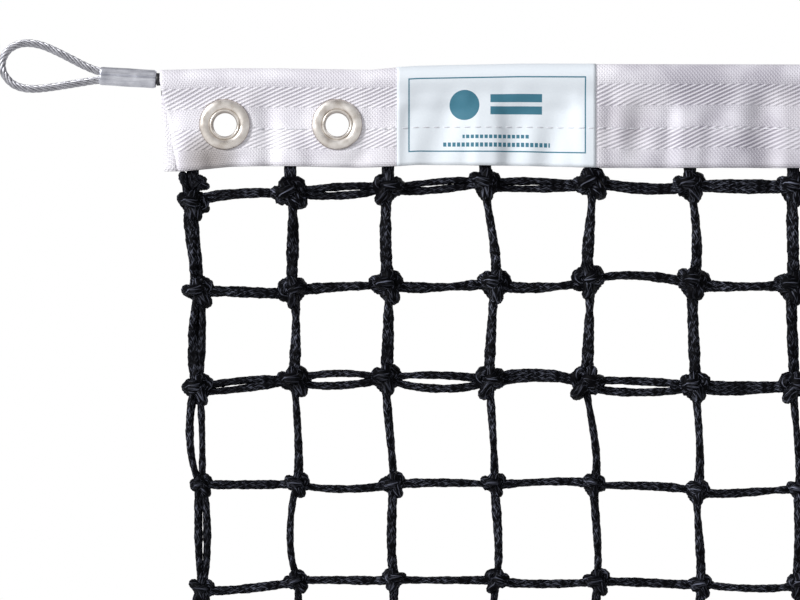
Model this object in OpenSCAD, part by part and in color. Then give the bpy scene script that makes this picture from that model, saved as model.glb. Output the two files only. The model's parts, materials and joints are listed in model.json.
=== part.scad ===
// Full-length tennis net with its headband, hanging straight between two cable eyes.
// X runs along the net, the front faces -Y and Z is up.
// The origin lies under the middle of the net, level with the lowest twine.
// All lengths are in millimetres and all angles in degrees.

/* [Netting] */
// Knot-to-knot distance of the square mesh
mesh = 50; // [40:1:50]
// Number of meshes along the net
columns = 256; // [64:2:256]
// Diameter of the braided twine
twine_d = 4; // [3:0.1:4]
// Distance from the headband's lower edge to the first row of knots
stub_drop = 12; // [8:1:16]

/* [Headband] */
// Height of the folded headband
band_h = 50; // [48:1:63]
// Thickness of one ply of the webbing
band_ply = 1; // [0.8:0.1:1.2]
// How far the headband runs past the outer column of knots
band_over = 18; // [12:1:24]
// Depth of the closing seam under the top edge
seam_depth = 31; // [30:0.5:36]
// Diameter of the sewing thread
thread_d = 0.5; // [0.3:0.1:0.6]

/* [Label] */
// Distance from the outer column of knots to the label
label_in = 101; // [90:1:120]
// Width of the label
label_w = 100; // [60:1:120]
// Thickness of the label's cloth
label_t = 0.4; // [0.2:0.1:0.6]

/* [Grommets] */
// Diameter of the clear hole
hole_d = 12.2; // [9:0.1:13]
// Diameter of the flanges
flange_d = 25.4; // [22:0.1:26]
// Height of the flanges above the webbing
flange_h = 1.8; // [1.4:0.1:2]
// Depth of the hole's centre under the top edge
grommet_depth = 28.5; // [27:0.5:30]
// Distance from the outer column of knots to the outer grommet
outer_grommet_in = 14.5; // [12:0.5:20]
// Distance from the outer column of knots to the inner grommet
inner_grommet_in = 71; // [66:0.5:76]

/* [Cable] */
// Diameter of the bare wire rope
rope_d = 4; // [3:0.5:4]
// Diameter of the rope with its plastic jacket
jacket_d = 5.5; // [5:0.1:6]
// Length of the ferrule that closes each eye
ferrule_len = 28.5; // [24:0.5:30]
// Height of the ferrule across both legs of the rope
ferrule_h = 9.3; // [9:0.1:11]
// Depth of the ferrule from front to back
ferrule_depth = 6.2; // [6:0.1:7]
// Rise of the ferrule towards the eye
ferrule_tilt = 3.5; // [0:0.5:4]

/* [Hidden] */
// Rows of meshes under the headband, in panels that fold on each other
panels = 5;
panel_rows = 4;
rows = panels * panel_rows;

// Room around the cable in the fold, and around a folding row of knots
tunnel_play = 2;
hinge_play = 0.5;
slit = twine_d + 0.2;
ferrule_gap = 2;
tiny_play = 0.1;
over = 1;

half_net = mesh * columns / 2;
band_half = half_net + band_over;
twine_r = twine_d / 2;
low_row_z = 3 * twine_r;
first_row_z = low_row_z + mesh * rows;
band_low_z = first_row_z + stub_drop;
band_top_z = band_low_z + band_h;
tunnel_r = jacket_d / 2 + tunnel_play;
fold_r = tunnel_r + band_ply;
cable_z = band_top_z - fold_r;
band_face = slit / 2 + band_ply;
head_twine_z = first_row_z + mesh;
seam_z = band_top_z - seam_depth;
grommet_z = band_top_z - grommet_depth;
flex_x = band_half + ferrule_gap / 2;
mouth = ferrule_gap / 2 + ferrule_len;

// Barrel, rolled lip and washer of a grommet
barrel_r = hole_d / 2 + 0.8;
roll_r = 0.55;
washer_seat = 0.7;
thread_lane = band_face + thread_d / 2;
label_lane = thread_lane + label_t;

// The rope's route round the eye, outwards and upwards from the flex point at the ferrule
eye_route = [
    [36.5, 6.6], [44, 10.4], [51.2, 14], [58.4, 17], [65, 18.2], [70.6, 17.5], [75.2, 14.9],
    [77.9, 10.9], [78.6, 6.4], [77.1, 2], [73.5, -2], [68.6, -4.2], [62.6, -4.8], [55.4, -4.2],
    [47.2, -3], [38.6, -1.6]];
leg_rise = rope_d / 2 + 0.15;
live_leg_from = 4;
dead_leg_to = 8;
eye_sides = 12;
spans_per_point = 2;

steel = [0.72, 0.73, 0.76];
zinc = [0.66, 0.67, 0.70];
nickel = [0.80, 0.76, 0.70];
webbing = [0.92, 0.91, 0.95];
satin = [0.89, 0.94, 0.97];
pvc = [0.05, 0.05, 0.06];
twine = [0.08, 0.08, 0.11];

function row_z(k) = low_row_z + mesh * (rows - k);

// A point on one leg of the eye inside the tilted ferrule: side is 1 above and -1 below
function leg(u, side) =
    let (up = [-sin(ferrule_tilt), cos(ferrule_tilt)], along = [cos(ferrule_tilt), sin(ferrule_tilt)])
    u * along + side * leg_rise * up;

eye_points = concat(
    [leg(live_leg_from, 1), leg(mouth / 2, 1), leg(mouth, 1)],
    eye_route,
    [leg(mouth, -1), leg(mouth / 2, -1), leg(dead_leg_to, -1)]);

// A smooth curve through points a, b, c and d, at the share t of the way from b to c
function between(a, b, c, d, t) =
    0.5 * (2 * b + (c - a) * t + (2 * a - 5 * b + 4 * c - d) * t * t
        + (3 * b - a - 3 * c + d) * t * t * t);

function smoothed(p, n) =
    let (last = len(p) - 1)
    concat(
        [for (i = [0 : last - 1], j = [0 : n - 1])
            between(p[max(i - 1, 0)], p[i], p[i + 1], p[min(i + 2, last)], j / n)],
        [p[last]]);

function heading(p, i) =
    let (d = p[min(i + 1, len(p) - 1)] - p[max(i - 1, 0)]) d / norm(d);

// A round tube swept along a route in the XZ plane
module swept_tube(route, r, sides) {
    count = len(route);
    rings = [for (i = [0 : count - 1], s = [0 : sides - 1])
        let (h = heading(route, i), a = 360 * s / sides)
        [route[i][0] - h[1] * r * cos(a), r * sin(a), route[i][1] + h[0] * r * cos(a)]];
    walls = [for (i = [0 : count - 2], s = [0 : sides - 1])
        let (n = (s + 1) % sides)
        [i * sides + s, i * sides + n, (i + 1) * sides + n, (i + 1) * sides + s]];
    start = [for (s = [sides - 1 : -1 : 0]) s];
    end = [for (s = [0 : sides - 1]) (count - 1) * sides + s];
    polyhedron(points = rings, faces = concat([start], walls, [end]), convexity = 4);
}

module along_x(length) {
    rotate([90, 0, 90]) linear_extrude(length, center = true) children();
}

// Places a right-hand piece at its own end of the net: side is -1 on the left and 1 on the right
module at_end(side) {
    mirror([side < 0 ? 1 : 0, 0, 0]) children();
}

module twine_along(z, half) {
    color(twine) translate([-half, 0, z]) rotate([0, 90, 0]) cylinder(d = twine_d, h = 2 * half, $fn = 24);
}

module twine_up(x, low, high) {
    translate([x, 0, low]) cylinder(d = twine_d, h = high - low, $fn = 24);
}

module rope_run() {
    color(steel) translate([0, 0, cable_z]) along_x(2 * band_half) circle(d = rope_d, $fn = 32);
}

module rope_jacket() {
    color(pvc) translate([0, 0, cable_z]) along_x(2 * band_half) difference() {
        circle(d = jacket_d, $fn = 32);
        circle(d = rope_d, $fn = 32);
    }
}

// The rope enters the ferrule, runs round the eye and ends inside the ferrule again
module eye_rope(side) {
    color(steel) at_end(side) translate([flex_x, 0, cable_z])
        swept_tube(smoothed(eye_points, spans_per_point), rope_d / 2, eye_sides);
}

// A flattened sleeve pressed round both legs of the rope
module ferrule(side) {
    color(zinc) at_end(side) translate([flex_x, 0, cable_z]) rotate([0, -ferrule_tilt, 0])
        translate([ferrule_gap / 2 + ferrule_len / 2, 0, 0]) along_x(ferrule_len) difference() {
            ferrule_outline();
            for (leg_side = [-1, 1]) translate([0, leg_side * leg_rise]) circle(d = rope_d, $fn = 32);
        }
}

module ferrule_outline() {
    end_r = ferrule_depth / 2;
    for (end = [-1, 1]) translate([0, end * (ferrule_h / 2 - end_r)]) circle(r = end_r, $fn = 32);
    square([ferrule_depth, ferrule_h - ferrule_depth], center = true);
}

// Outline of the fold, grown by some thickness: a round head over two straight walls
module fold_outline(head_r, half_width, low) {
    circle(r = head_r, $fn = 48);
    translate([-half_width, -low]) square([2 * half_width, low]);
}

module band_shell(grow) {
    low = cable_z - band_low_z;
    difference() {
        fold_outline(fold_r + grow, band_face + grow, low);
        if (grow > 0) fold_outline(fold_r, band_face, low + over);
        else fold_outline(tunnel_r, slit / 2, low + over);
    }
}

module grommet_places() {
    for (inset = [outer_grommet_in, inner_grommet_in], side = [-1, 1])
        translate([side * (half_net - inset), 0, grommet_z]) children();
}

module headband() {
    color(webbing) difference() {
        translate([0, 0, cable_z]) along_x(2 * band_half) band_shell(0);
        grommet_places() rotate([90, 0, 0])
            cylinder(r = barrel_r + tiny_play, h = 4 * band_face, center = true, $fn = 48);
    }
}

// A strip of cloth folded over the top edge and sewn through by the closing seam
module label() {
    color(satin) translate([-half_net + label_in + label_w / 2, 0, cable_z]) along_x(label_w)
        band_shell(label_t);
}

// The seam lies on the webbing, steps up over the label and stops at each flange
module seam_thread(face) {
    gap = flange_d / 2 + over;
    label_left = -half_net + label_in;
    label_right = label_left + label_w;
    inner = half_net - inner_grommet_in;
    outer = half_net - outer_grommet_in;
    color("white") {
        stitch_line(-band_half + over, -outer - gap, face * thread_lane);
        stitch_line(-outer + gap, -inner - gap, face * thread_lane);
        stitch_line(-inner + gap, label_left, face * thread_lane);
        stitch_line(label_left, label_right, face * label_lane);
        stitch_line(label_right, inner - gap, face * thread_lane);
        stitch_line(inner + gap, outer - gap, face * thread_lane);
        stitch_line(outer + gap, band_half - over, face * thread_lane);
    }
}

module stitch_line(from, to, y) {
    translate([from, y, seam_z]) rotate([0, 90, 0]) cylinder(d = thread_d, h = to - from, $fn = 16);
}

// Turns a profile of radius and height into a ring whose front faces -Y
module grommet_ring(inset, side) {
    color(nickel) translate([side * (half_net - inset), 0, grommet_z]) rotate([90, 0, 0])
        rotate_extrude($fn = 64) children();
}

// The part of a flange that bulges from the webbing, between two radii
module crown(r_in, r_out, height) {
    half = (r_out - r_in) / 2;
    arc_r = (half * half + height * height) / (2 * height);
    intersection() {
        translate([r_in + half, height - arc_r]) circle(r = arc_r, $fn = 64);
        translate([r_in, 0]) square([2 * half, height + over]);
    }
}

// Barrel through the band, rolled over the washer in front and flanged behind
module eyelet(inset, side) {
    back = band_face + flange_h;
    roll_y = band_face + washer_seat + roll_r;
    grommet_ring(inset, side) {
        translate([hole_d / 2, -back]) square([barrel_r - hole_d / 2, back + roll_y]);
        translate([barrel_r + roll_r / 2, roll_y]) circle(r = roll_r, $fn = 32);
        translate([0, -band_face]) mirror([0, 1]) {
            crown(barrel_r - flange_h / 2, flange_d / 2, flange_h);
            translate([hole_d / 2, 0]) square([(flange_d - hole_d) / 4, flange_h]);
        }
    }
}

module washer(inset, side) {
    seat_r = barrel_r + tiny_play;
    crown_from = barrel_r + 2 * roll_r;
    grommet_ring(inset, side) translate([0, band_face]) {
        translate([seat_r, 0]) square([2 * roll_r + over, washer_seat]);
        crown(crown_from, flange_d / 2, flange_h);
    }
}

// The first row inside the fold, from which the whole net hangs
module head_twine() {
    twine_along(head_twine_z, half_net + twine_r);
}

module stub_twines() {
    color(twine) for (i = [0 : columns])
        twine_up(i * mesh - half_net, first_row_z, head_twine_z);
}

module top_row_twine(side) {
    twine_along(first_row_z + side * twine_r, half_net + twine_r);
}

module row_twine(k) {
    twine_along(row_z(k) + (k == 2 ? twine_r : 0), half_net + twine_r);
}

module second_row_double() {
    twine_along(row_z(2) - twine_r, half_net + twine_r);
}

module foot_twine() {
    twine_along(twine_r, half_net + twine_r);
}

// Upright twines of one panel: they start just under the row that the panel folds on
function panel_top(n) =
    row_z((n - 1) * panel_rows) - twine_r * (n == 1 ? 2 : 1) - hinge_play;
function panel_low(n) = row_z(n * panel_rows);

module drop_twines(n) {
    color(twine) for (i = [0 : columns])
        twine_up(i * mesh - half_net, panel_low(n), panel_top(n));
}

module side_selvages(n) {
    color(twine) for (side = [-1, 1])
        twine_up(side * (half_net - twine_d - tiny_play), panel_low(n), panel_top(n));
}

rope_run();
rope_jacket();
eye_rope(-1);  // left_eye_rope
ferrule(-1);  // left_ferrule
eye_rope(1);  // right_eye_rope
ferrule(1);  // right_ferrule
headband();
label();
seam_thread(-1);  // front_seam_thread
seam_thread(1);  // back_seam_thread
eyelet(outer_grommet_in, -1);  // left_outer_eyelet
washer(outer_grommet_in, -1);  // left_outer_washer
eyelet(inner_grommet_in, -1);  // left_inner_eyelet
washer(inner_grommet_in, -1);  // left_inner_washer
eyelet(inner_grommet_in, 1);  // right_inner_eyelet
washer(inner_grommet_in, 1);  // right_inner_washer
eyelet(outer_grommet_in, 1);  // right_outer_eyelet
washer(outer_grommet_in, 1);  // right_outer_washer
head_twine();
stub_twines();
top_row_twine(1);  // top_row_upper_twine
top_row_twine(-1);  // top_row_lower_twine
for (k = [1 : rows]) row_twine(k);
second_row_double();
foot_twine();
for (n = [1 : panels]) drop_twines(n);
for (n = [1 : panels]) side_selvages(n);
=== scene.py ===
"""Looks of a full-length tennis net: knotted twine, folded webbing, label, wire-rope eyes and grommets.

X runs along the net, the front faces -Y and Z is up. Lengths are in metres, and places and sizes come
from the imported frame. MM turns the millimetres in which small details are given into metres.
"""
import json
import math

import bpy
import numpy as np
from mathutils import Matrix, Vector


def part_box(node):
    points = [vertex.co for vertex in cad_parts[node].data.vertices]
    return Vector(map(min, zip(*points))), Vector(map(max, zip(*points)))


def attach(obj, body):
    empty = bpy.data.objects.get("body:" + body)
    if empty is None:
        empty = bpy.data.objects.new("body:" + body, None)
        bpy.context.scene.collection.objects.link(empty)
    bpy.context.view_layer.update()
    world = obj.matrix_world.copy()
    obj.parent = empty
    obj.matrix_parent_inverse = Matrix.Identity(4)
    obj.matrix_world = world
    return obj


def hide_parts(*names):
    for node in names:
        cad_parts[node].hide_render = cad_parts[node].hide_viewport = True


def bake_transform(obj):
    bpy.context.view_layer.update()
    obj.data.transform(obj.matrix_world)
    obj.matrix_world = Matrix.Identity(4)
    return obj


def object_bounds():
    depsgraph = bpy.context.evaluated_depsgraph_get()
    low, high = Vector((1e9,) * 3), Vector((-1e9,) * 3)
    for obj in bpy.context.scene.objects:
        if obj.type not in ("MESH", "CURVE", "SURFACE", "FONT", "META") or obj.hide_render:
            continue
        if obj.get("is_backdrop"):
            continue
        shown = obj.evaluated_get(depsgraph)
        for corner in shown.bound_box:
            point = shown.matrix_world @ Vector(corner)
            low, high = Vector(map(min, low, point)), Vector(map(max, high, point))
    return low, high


MM = 0.001
FRONT, BACK = -1, 1
LEFT, RIGHT = -1, 1
rng = np.random.default_rng(11)

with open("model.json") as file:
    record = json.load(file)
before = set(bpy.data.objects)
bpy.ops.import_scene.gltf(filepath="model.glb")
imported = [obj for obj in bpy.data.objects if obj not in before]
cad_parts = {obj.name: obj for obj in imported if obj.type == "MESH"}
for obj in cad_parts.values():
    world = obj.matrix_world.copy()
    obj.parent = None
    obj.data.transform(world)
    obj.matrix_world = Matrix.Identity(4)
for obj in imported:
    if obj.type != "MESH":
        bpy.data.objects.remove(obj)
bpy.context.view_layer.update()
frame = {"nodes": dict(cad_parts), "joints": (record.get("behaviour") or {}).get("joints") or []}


# ---------------------------------------------------------------- sizes read from the frame

def middle(node):
    """Centre of a CAD node's box."""
    low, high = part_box(node)
    return (np.array(low) + np.array(high)) / 2


def extent(node):
    """Size of a CAD node's box."""
    low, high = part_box(node)
    return np.array(high) - np.array(low)


MESH_ROWS = 20
PANEL_ROWS = 4
twine_r = extent("row_twine_1")[2] / 2
half_net = extent("row_twine_1")[0] / 2 - twine_r
mesh_size = middle("row_twine_3")[2] - middle("row_twine_4")[2]
mesh_columns = round(2 * half_net / mesh_size)
first_row_z = (middle("top_row_upper_twine")[2] + middle("top_row_lower_twine")[2]) / 2
head_twine_z = middle("head_twine")[2]

band_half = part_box("headband")[1][0]
band_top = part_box("headband")[1][2]
band_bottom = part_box("headband")[0][2]
cable_z = middle("rope_run")[2]
rope_r = extent("rope_run")[2] / 2
jacket_r = extent("rope_jacket")[2] / 2
seam_z = middle("front_seam_thread")[2]
thread_r = extent("front_seam_thread")[2] / 2
label_left, label_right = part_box("label")[0][0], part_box("label")[1][0]
washer_back = -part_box("left_outer_washer")[1][1]
hinge_x = abs(next(j for j in frame["joints"] if j["name"] == "left_eye_flex")["pos_m"][0])


# ---------------------------------------------------------------- camera, lights and floor

def make_camera():
    """A long lens square to the front, level with the net's upper left corner."""
    lens, sensor, view_width = 200.0, 36.0, 402.4 * MM
    data = bpy.data.cameras.new("camera")
    data.lens, data.sensor_width, data.clip_end = lens, sensor, 400
    camera = bpy.data.objects.new("camera", data)
    camera.location = (-half_net + 102.6 * MM, -view_width * lens / sensor, band_top - 116.7 * MM)
    camera.rotation_euler = (math.pi / 2, 0, 0)
    bpy.context.scene.collection.objects.link(camera)
    bpy.context.scene.camera = camera
    bpy.context.scene.view_settings.view_transform = "Standard"


def make_world():
    """White to the eye, and a soft room for the surfaces: bright at eye level, dimmer above and below."""
    world = bpy.data.worlds.new("studio")
    world.use_nodes = True
    tree = world.node_tree
    tree.nodes.clear()
    seen = node_of(tree, "Background")
    room = node_of(tree, "Background", Strength=0.57)
    seen.inputs["Color"].default_value = (1, 1, 1, 1)
    height = maths(tree, "MULTIPLY_ADD", axis_of(tree, node_of(tree, "TexCoord").outputs["Generated"], "Z"),
                   0.5, 0.5)
    tree.links.new(shades(tree, height, [(0.20, (0.12, 0.12, 0.14)), (0.52, (1, 1, 1)),
                                         (0.85, (0.45, 0.45, 0.49))]), room.inputs["Color"])
    mix = tree.nodes.new("ShaderNodeMixShader")
    tree.links.new(node_of(tree, "LightPath").outputs["Is Camera Ray"], mix.inputs[0])
    tree.links.new(room.outputs[0], mix.inputs[1])
    tree.links.new(seen.outputs[0], mix.inputs[2])
    tree.links.new(mix.outputs[0], node_of(tree, "OutputWorld").inputs["Surface"])
    bpy.context.scene.world = world


def make_lights():
    """A broad soft sun from the upper left in front, and a weak one behind."""
    for name, strength, turn, spread in (("key_light", 3.7, (66, 0, -56), 8),
                                         ("rim_light", 0.5, (55, 0, 150), 30)):
        data = bpy.data.lights.new(name, "SUN")
        data.energy, data.angle = strength, math.radians(spread)
        lamp = bpy.data.objects.new(name, data)
        lamp.rotation_euler = [math.radians(a) for a in turn]
        bpy.context.scene.collection.objects.link(lamp)


def make_floor(level):
    """A plain pale floor at the foot of the net."""
    half_length, half_width = 10.0, 9.5
    mesh = bpy.data.meshes.new("floor")
    corners = [(x * half_length, y * half_width, level) for x, y in ((-1, -1), (1, -1), (1, 1), (-1, 1))]
    mesh.from_pydata(corners, [], [(0, 1, 2, 3)])
    floor = bpy.data.objects.new("floor", mesh)
    bpy.context.scene.collection.objects.link(floor)
    material, _, _ = finish_of("floor_paint", (0.78, 0.78, 0.78), 0.9)
    mesh.materials.append(material)
    floor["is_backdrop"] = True


# ---------------------------------------------------------------- node helpers

def finish_of(name, color, roughness, metallic=0.0, **sockets):
    """A material with its constants on the shader's own sockets: (material, tree, shader)."""
    material = bpy.data.materials.new(name)
    material.use_nodes = True
    tree = material.node_tree
    node = tree.nodes["Principled BSDF"]
    for key, value in dict(Base_Color=(*color, 1), Roughness=roughness, Metallic=metallic, **sockets).items():
        node.inputs[key.replace("_", " ")].default_value = value
    return material, tree, node


def node_of(tree, kind, **inputs):
    """A new shader node with the named inputs set."""
    node = tree.nodes.new("ShaderNode" + kind)
    for key, value in inputs.items():
        node.inputs[key].default_value = value
    return node


def maths(tree, operation, *values):
    """A Math node's output. Each value is a number or another node's output."""
    node = tree.nodes.new("ShaderNodeMath")
    node.operation = operation
    for slot, value in zip(node.inputs, values):
        if isinstance(value, (int, float)):
            slot.default_value = value
        else:
            tree.links.new(value, slot)
    return node.outputs[0]


def axis_of(tree, vector, axis):
    """One coordinate of a vector output."""
    node = tree.nodes.new("ShaderNodeSeparateXYZ")
    tree.links.new(vector, node.inputs[0])
    return node.outputs[axis]


def vector_of(tree, x, y, z):
    """A vector from three numbers or outputs."""
    node = tree.nodes.new("ShaderNodeCombineXYZ")
    for slot, value in zip(node.inputs, (x, y, z)):
        if isinstance(value, (int, float)):
            slot.default_value = value
        else:
            tree.links.new(value, slot)
    return node.outputs[0]


def mixed(tree, share, first, second):
    """Two colours mixed by a share. A colour is three numbers or an output."""
    node = tree.nodes.new("ShaderNodeMix")
    node.data_type = "RGBA"
    tree.links.new(share, node.inputs[0])
    for slot, value in ((node.inputs[6], first), (node.inputs[7], second)):
        if isinstance(value, tuple):
            slot.default_value = (*value, 1)
        else:
            tree.links.new(value, slot)
    return node.outputs[2]


def shades(tree, value, stops):
    """A colour ramp: stops are (position, colour)."""
    node = tree.nodes.new("ShaderNodeValToRGB")
    for extra in stops[2:]:
        node.color_ramp.elements.new(extra[0])
    for element, (position, color) in zip(node.color_ramp.elements, stops):
        element.position, element.color = position, (*color, 1)
    tree.links.new(value, node.inputs[0])
    return node.outputs[0]


def spread(tree, value, low, high, to_low=0.0, to_high=1.0):
    """A value stretched from low..high to another range, and held at its ends."""
    node = node_of(tree, "MapRange",
                   **{"From Min": low, "From Max": high, "To Min": to_low, "To Max": to_high})
    tree.links.new(value, node.inputs[0])
    return node.outputs[0]


def noise(tree, vector, scale, detail=2.0):
    """Soft random cloud, 0 to 1."""
    node = node_of(tree, "TexNoise", Scale=scale, Detail=detail)
    tree.links.new(vector, node.inputs["Vector"])
    return node.outputs[0]


def wave(tree, value):
    """Sine of a number of turns, 0 to 1."""
    return maths(tree, "MULTIPLY_ADD", maths(tree, "SINE", maths(tree, "MULTIPLY", value, 2 * math.pi)), 0.5,
                 0.5)


def object_place(tree):
    return tree.nodes.new("ShaderNodeTexCoord").outputs["Object"]


def cloth_place(tree):
    """The piece's own UV map, and its two coordinates."""
    node = tree.nodes.new("ShaderNodeUVMap")
    node.uv_map = UV_NAME
    return node.outputs[0], axis_of(tree, node.outputs[0], "X"), axis_of(tree, node.outputs[0], "Y")


def relief(tree, shader, height, depth, strength=1.0):
    """Bump on a shader, depth metres from low to high."""
    node = node_of(tree, "Bump", Strength=strength, Distance=depth)
    tree.links.new(height, node.inputs["Height"])
    tree.links.new(node.outputs[0], shader.inputs["Normal"])


UV_NAME = "weave"


# ---------------------------------------------------------------- materials

def fibre_noise(tree, around, along, slant):
    """Cloud drawn out into fibres that wind round a twine, by slant radians for each metre along."""
    ribs, stretch = 4.2, 330.0
    turn = maths(tree, "MULTIPLY_ADD", along, slant, maths(tree, "MULTIPLY", around, 2 * math.pi))
    place = vector_of(tree, maths(tree, "MULTIPLY", maths(tree, "COSINE", turn), ribs),
                      maths(tree, "MULTIPLY", maths(tree, "SINE", turn), ribs),
                      maths(tree, "MULTIPLY_ADD", along, stretch, slant))
    return noise(tree, place, 1.0, 4.0)


def twine_finish():
    """Blue-black polyethylene braid: fibres run along each twine on a slow slant, and their tops carry a
    painted highlight, stronger in some random patches than in others."""
    material, tree, shader = finish_of("net_twine", (0.012, 0.012, 0.018), 0.6, Specular_IOR_Level=0.05)
    _, around, along = cloth_place(tree)
    right_laid = fibre_noise(tree, around, along, 150.0)
    left_laid = fibre_noise(tree, around, along, -210.0)
    fibres = maths(tree, "MAXIMUM", right_laid, left_laid)
    plaits = wave(tree, maths(tree, "ADD", maths(tree, "MULTIPLY", around, 3.0),
                              maths(tree, "MULTIPLY", along, -190.0)))
    patches = noise(tree, object_place(tree), 70.0)
    # Painted highlight: the fibres' tops are mixed towards a blue-grey, more in some random patches than in
    # others.
    fibre_highlights = maths(tree, "MULTIPLY", spread(tree, fibres, 0.57, 0.74),
                 spread(tree, patches, 0.35, 0.65, 0.25, 1.0))
    tree.links.new(mixed(tree, fibre_highlights, (0.0006, 0.0006, 0.0014), (0.19, 0.205, 0.27)),
                   shader.inputs["Base Color"])
    tree.links.new(spread(tree, fibres, 0.3, 0.7, 0.75, 0.45), shader.inputs["Roughness"])
    relief(tree, shader, maths(tree, "MULTIPLY_ADD", plaits, 0.22, fibres), 0.5 * MM)
    return material


def webbing_finish():
    """White herringbone tape: bands of slanting ribs that turn back at each band, over a fine grid of
    threads. Shade is painted into the rib grooves, and the tape takes a lit copy of its colours near the
    ends and a shaded copy further in."""
    material, tree, shader = finish_of("webbing", (0.9, 0.9, 0.92), 0.85, Sheen_Weight=0.15)
    uv, x, v = cloth_place(tree)
    drift = noise(tree, uv, 26.0, 1.0)
    v = maths(tree, "MULTIPLY_ADD", drift, 2.6 * MM, v)
    zone_at = maths(tree, "DIVIDE", maths(tree, "SUBTRACT", v, 10.5 * MM), 10.4 * MM)
    odd = maths(tree, "FLOORED_MODULO", maths(tree, "FLOOR", zone_at), 2.0)
    rising = wave(tree, maths(tree, "SUBTRACT", maths(tree, "DIVIDE", x, 4.4 * MM),
                              maths(tree, "DIVIDE", v, 1.95 * MM)))
    falling = wave(tree,
                   maths(tree, "ADD", maths(tree, "DIVIDE", x, 1.9 * MM), maths(tree, "DIVIDE", v, 2.2 * MM)))
    counter = wave(tree, maths(tree, "SUBTRACT", maths(tree, "DIVIDE", x, 1.5 * MM),
                               maths(tree, "DIVIDE", v, 1.7 * MM)))
    soft_falling = maths(tree, "MULTIPLY_ADD", maths(tree, "MULTIPLY_ADD", counter, 0.5, falling), 0.32, 0.24)
    ribs = maths(tree, "ADD", maths(tree, "MULTIPLY", soft_falling, odd),
                 maths(tree, "MULTIPLY", rising, maths(tree, "SUBTRACT", 1.0, odd)))
    threads = maths(tree, "MULTIPLY", wave(tree, maths(tree, "DIVIDE", x, 0.85 * MM)),
                    wave(tree, maths(tree, "DIVIDE", v, 0.95 * MM)))
    place = object_place(tree)
    shade_clouds = noise(tree, place, 24.0)
    from_end = maths(tree, "SUBTRACT", band_half, maths(tree, "ABSOLUTE", axis_of(tree, place, "X")))
    # Painted light and shade: within about 0.27 m of each end the tape takes the lighter, lit tones, and
    # further in the darker, shaded tones.
    lit_near_ends = spread(tree, maths(tree, "MULTIPLY_ADD", noise(tree, place, 12.0, 1.0), 0.08, from_end), 0.24,
                   0.30, 1.0, 0.0)
    strength = spread(tree, noise(tree, place, 45.0, 2.0), 0.38, 0.62, 0.25, 1.0)
    # Painted shade: the grooves between the raised ribs get the darker end of each tone ramp.
    shade = maths(tree, "MULTIPLY", maths(tree, "SUBTRACT", 1.0, ribs), strength)
    pale = shades(tree, shade, [(0.10, (0.92, 0.905, 0.95)), (0.85, (0.56, 0.535, 0.60))])
    dull = shades(tree, shade, [(0.10, (0.68, 0.665, 0.72)), (0.85, (0.27, 0.25, 0.305))])
    base = mixed(tree, lit_near_ends, dull, pale)
    base = mixed(tree, maths(tree, "MULTIPLY", threads, 0.3), base, (0.56, 0.54, 0.60))
    # Painted shade: random darker grey clouds stand for soft creases in the cloth.
    base = mixed(tree, spread(tree, shade_clouds, 0.50, 0.72, 0.0, 0.4), base, (0.52, 0.49, 0.52))
    # A darker brownish-grey spot is painted into the colour near the tape's lower left corner.
    corner_spot = maths(tree, "MULTIPLY", spot(tree, place, (-band_half + 25 * MM, band_bottom + 5 * MM), 16 * MM),
                  0.95)
    base = mixed(tree, corner_spot, base, (0.34, 0.31, 0.30))
    low_down = spread(tree, axis_of(tree, place, "Z"), band_bottom + 22 * MM, band_bottom + 32 * MM, 0.55,
                      0.0)
    hem = maths(tree, "MULTIPLY", low_down, spread(tree, from_end, 7 * MM, 10 * MM, 1.0, 0.0))
    base = mixed(tree, hem, base, (0.93, 0.92, 0.95))
    tree.links.new(base, shader.inputs["Base Color"])
    tree.links.new(spread(tree, ribs, 0.0, 1.0, 0.95, 0.75), shader.inputs["Roughness"])
    relief(tree, shader, maths(tree, "MULTIPLY_ADD", threads, -0.5, ribs), 0.32 * MM)
    return material


def spot(tree, place, centre, radius):
    """A soft round spot on the front and back, 1 at its centre (x, z) and 0 past its radius."""
    away = [maths(tree, "POWER",
                  maths(tree, "DIVIDE", maths(tree, "SUBTRACT", axis_of(tree, place, axis), at), radius), 2.0)
            for axis, at in zip("XZ", centre)]
    return spread(tree, maths(tree, "ADD", *away), 0.0, 1.0, 1.0, 0.0)


def inside_box(tree, x, z, left, right, low, high):
    """1 inside a rectangle on the label, 0 outside, with its sides in millimetres."""
    tests = [maths(tree, "GREATER_THAN", x, left * MM), maths(tree, "LESS_THAN", x, right * MM),
             maths(tree, "GREATER_THAN", z, low * MM), maths(tree, "LESS_THAN", z, high * MM)]
    result = tests[0]
    for test in tests[1:]:
        result = maths(tree, "MULTIPLY", result, test)
    return result


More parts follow.
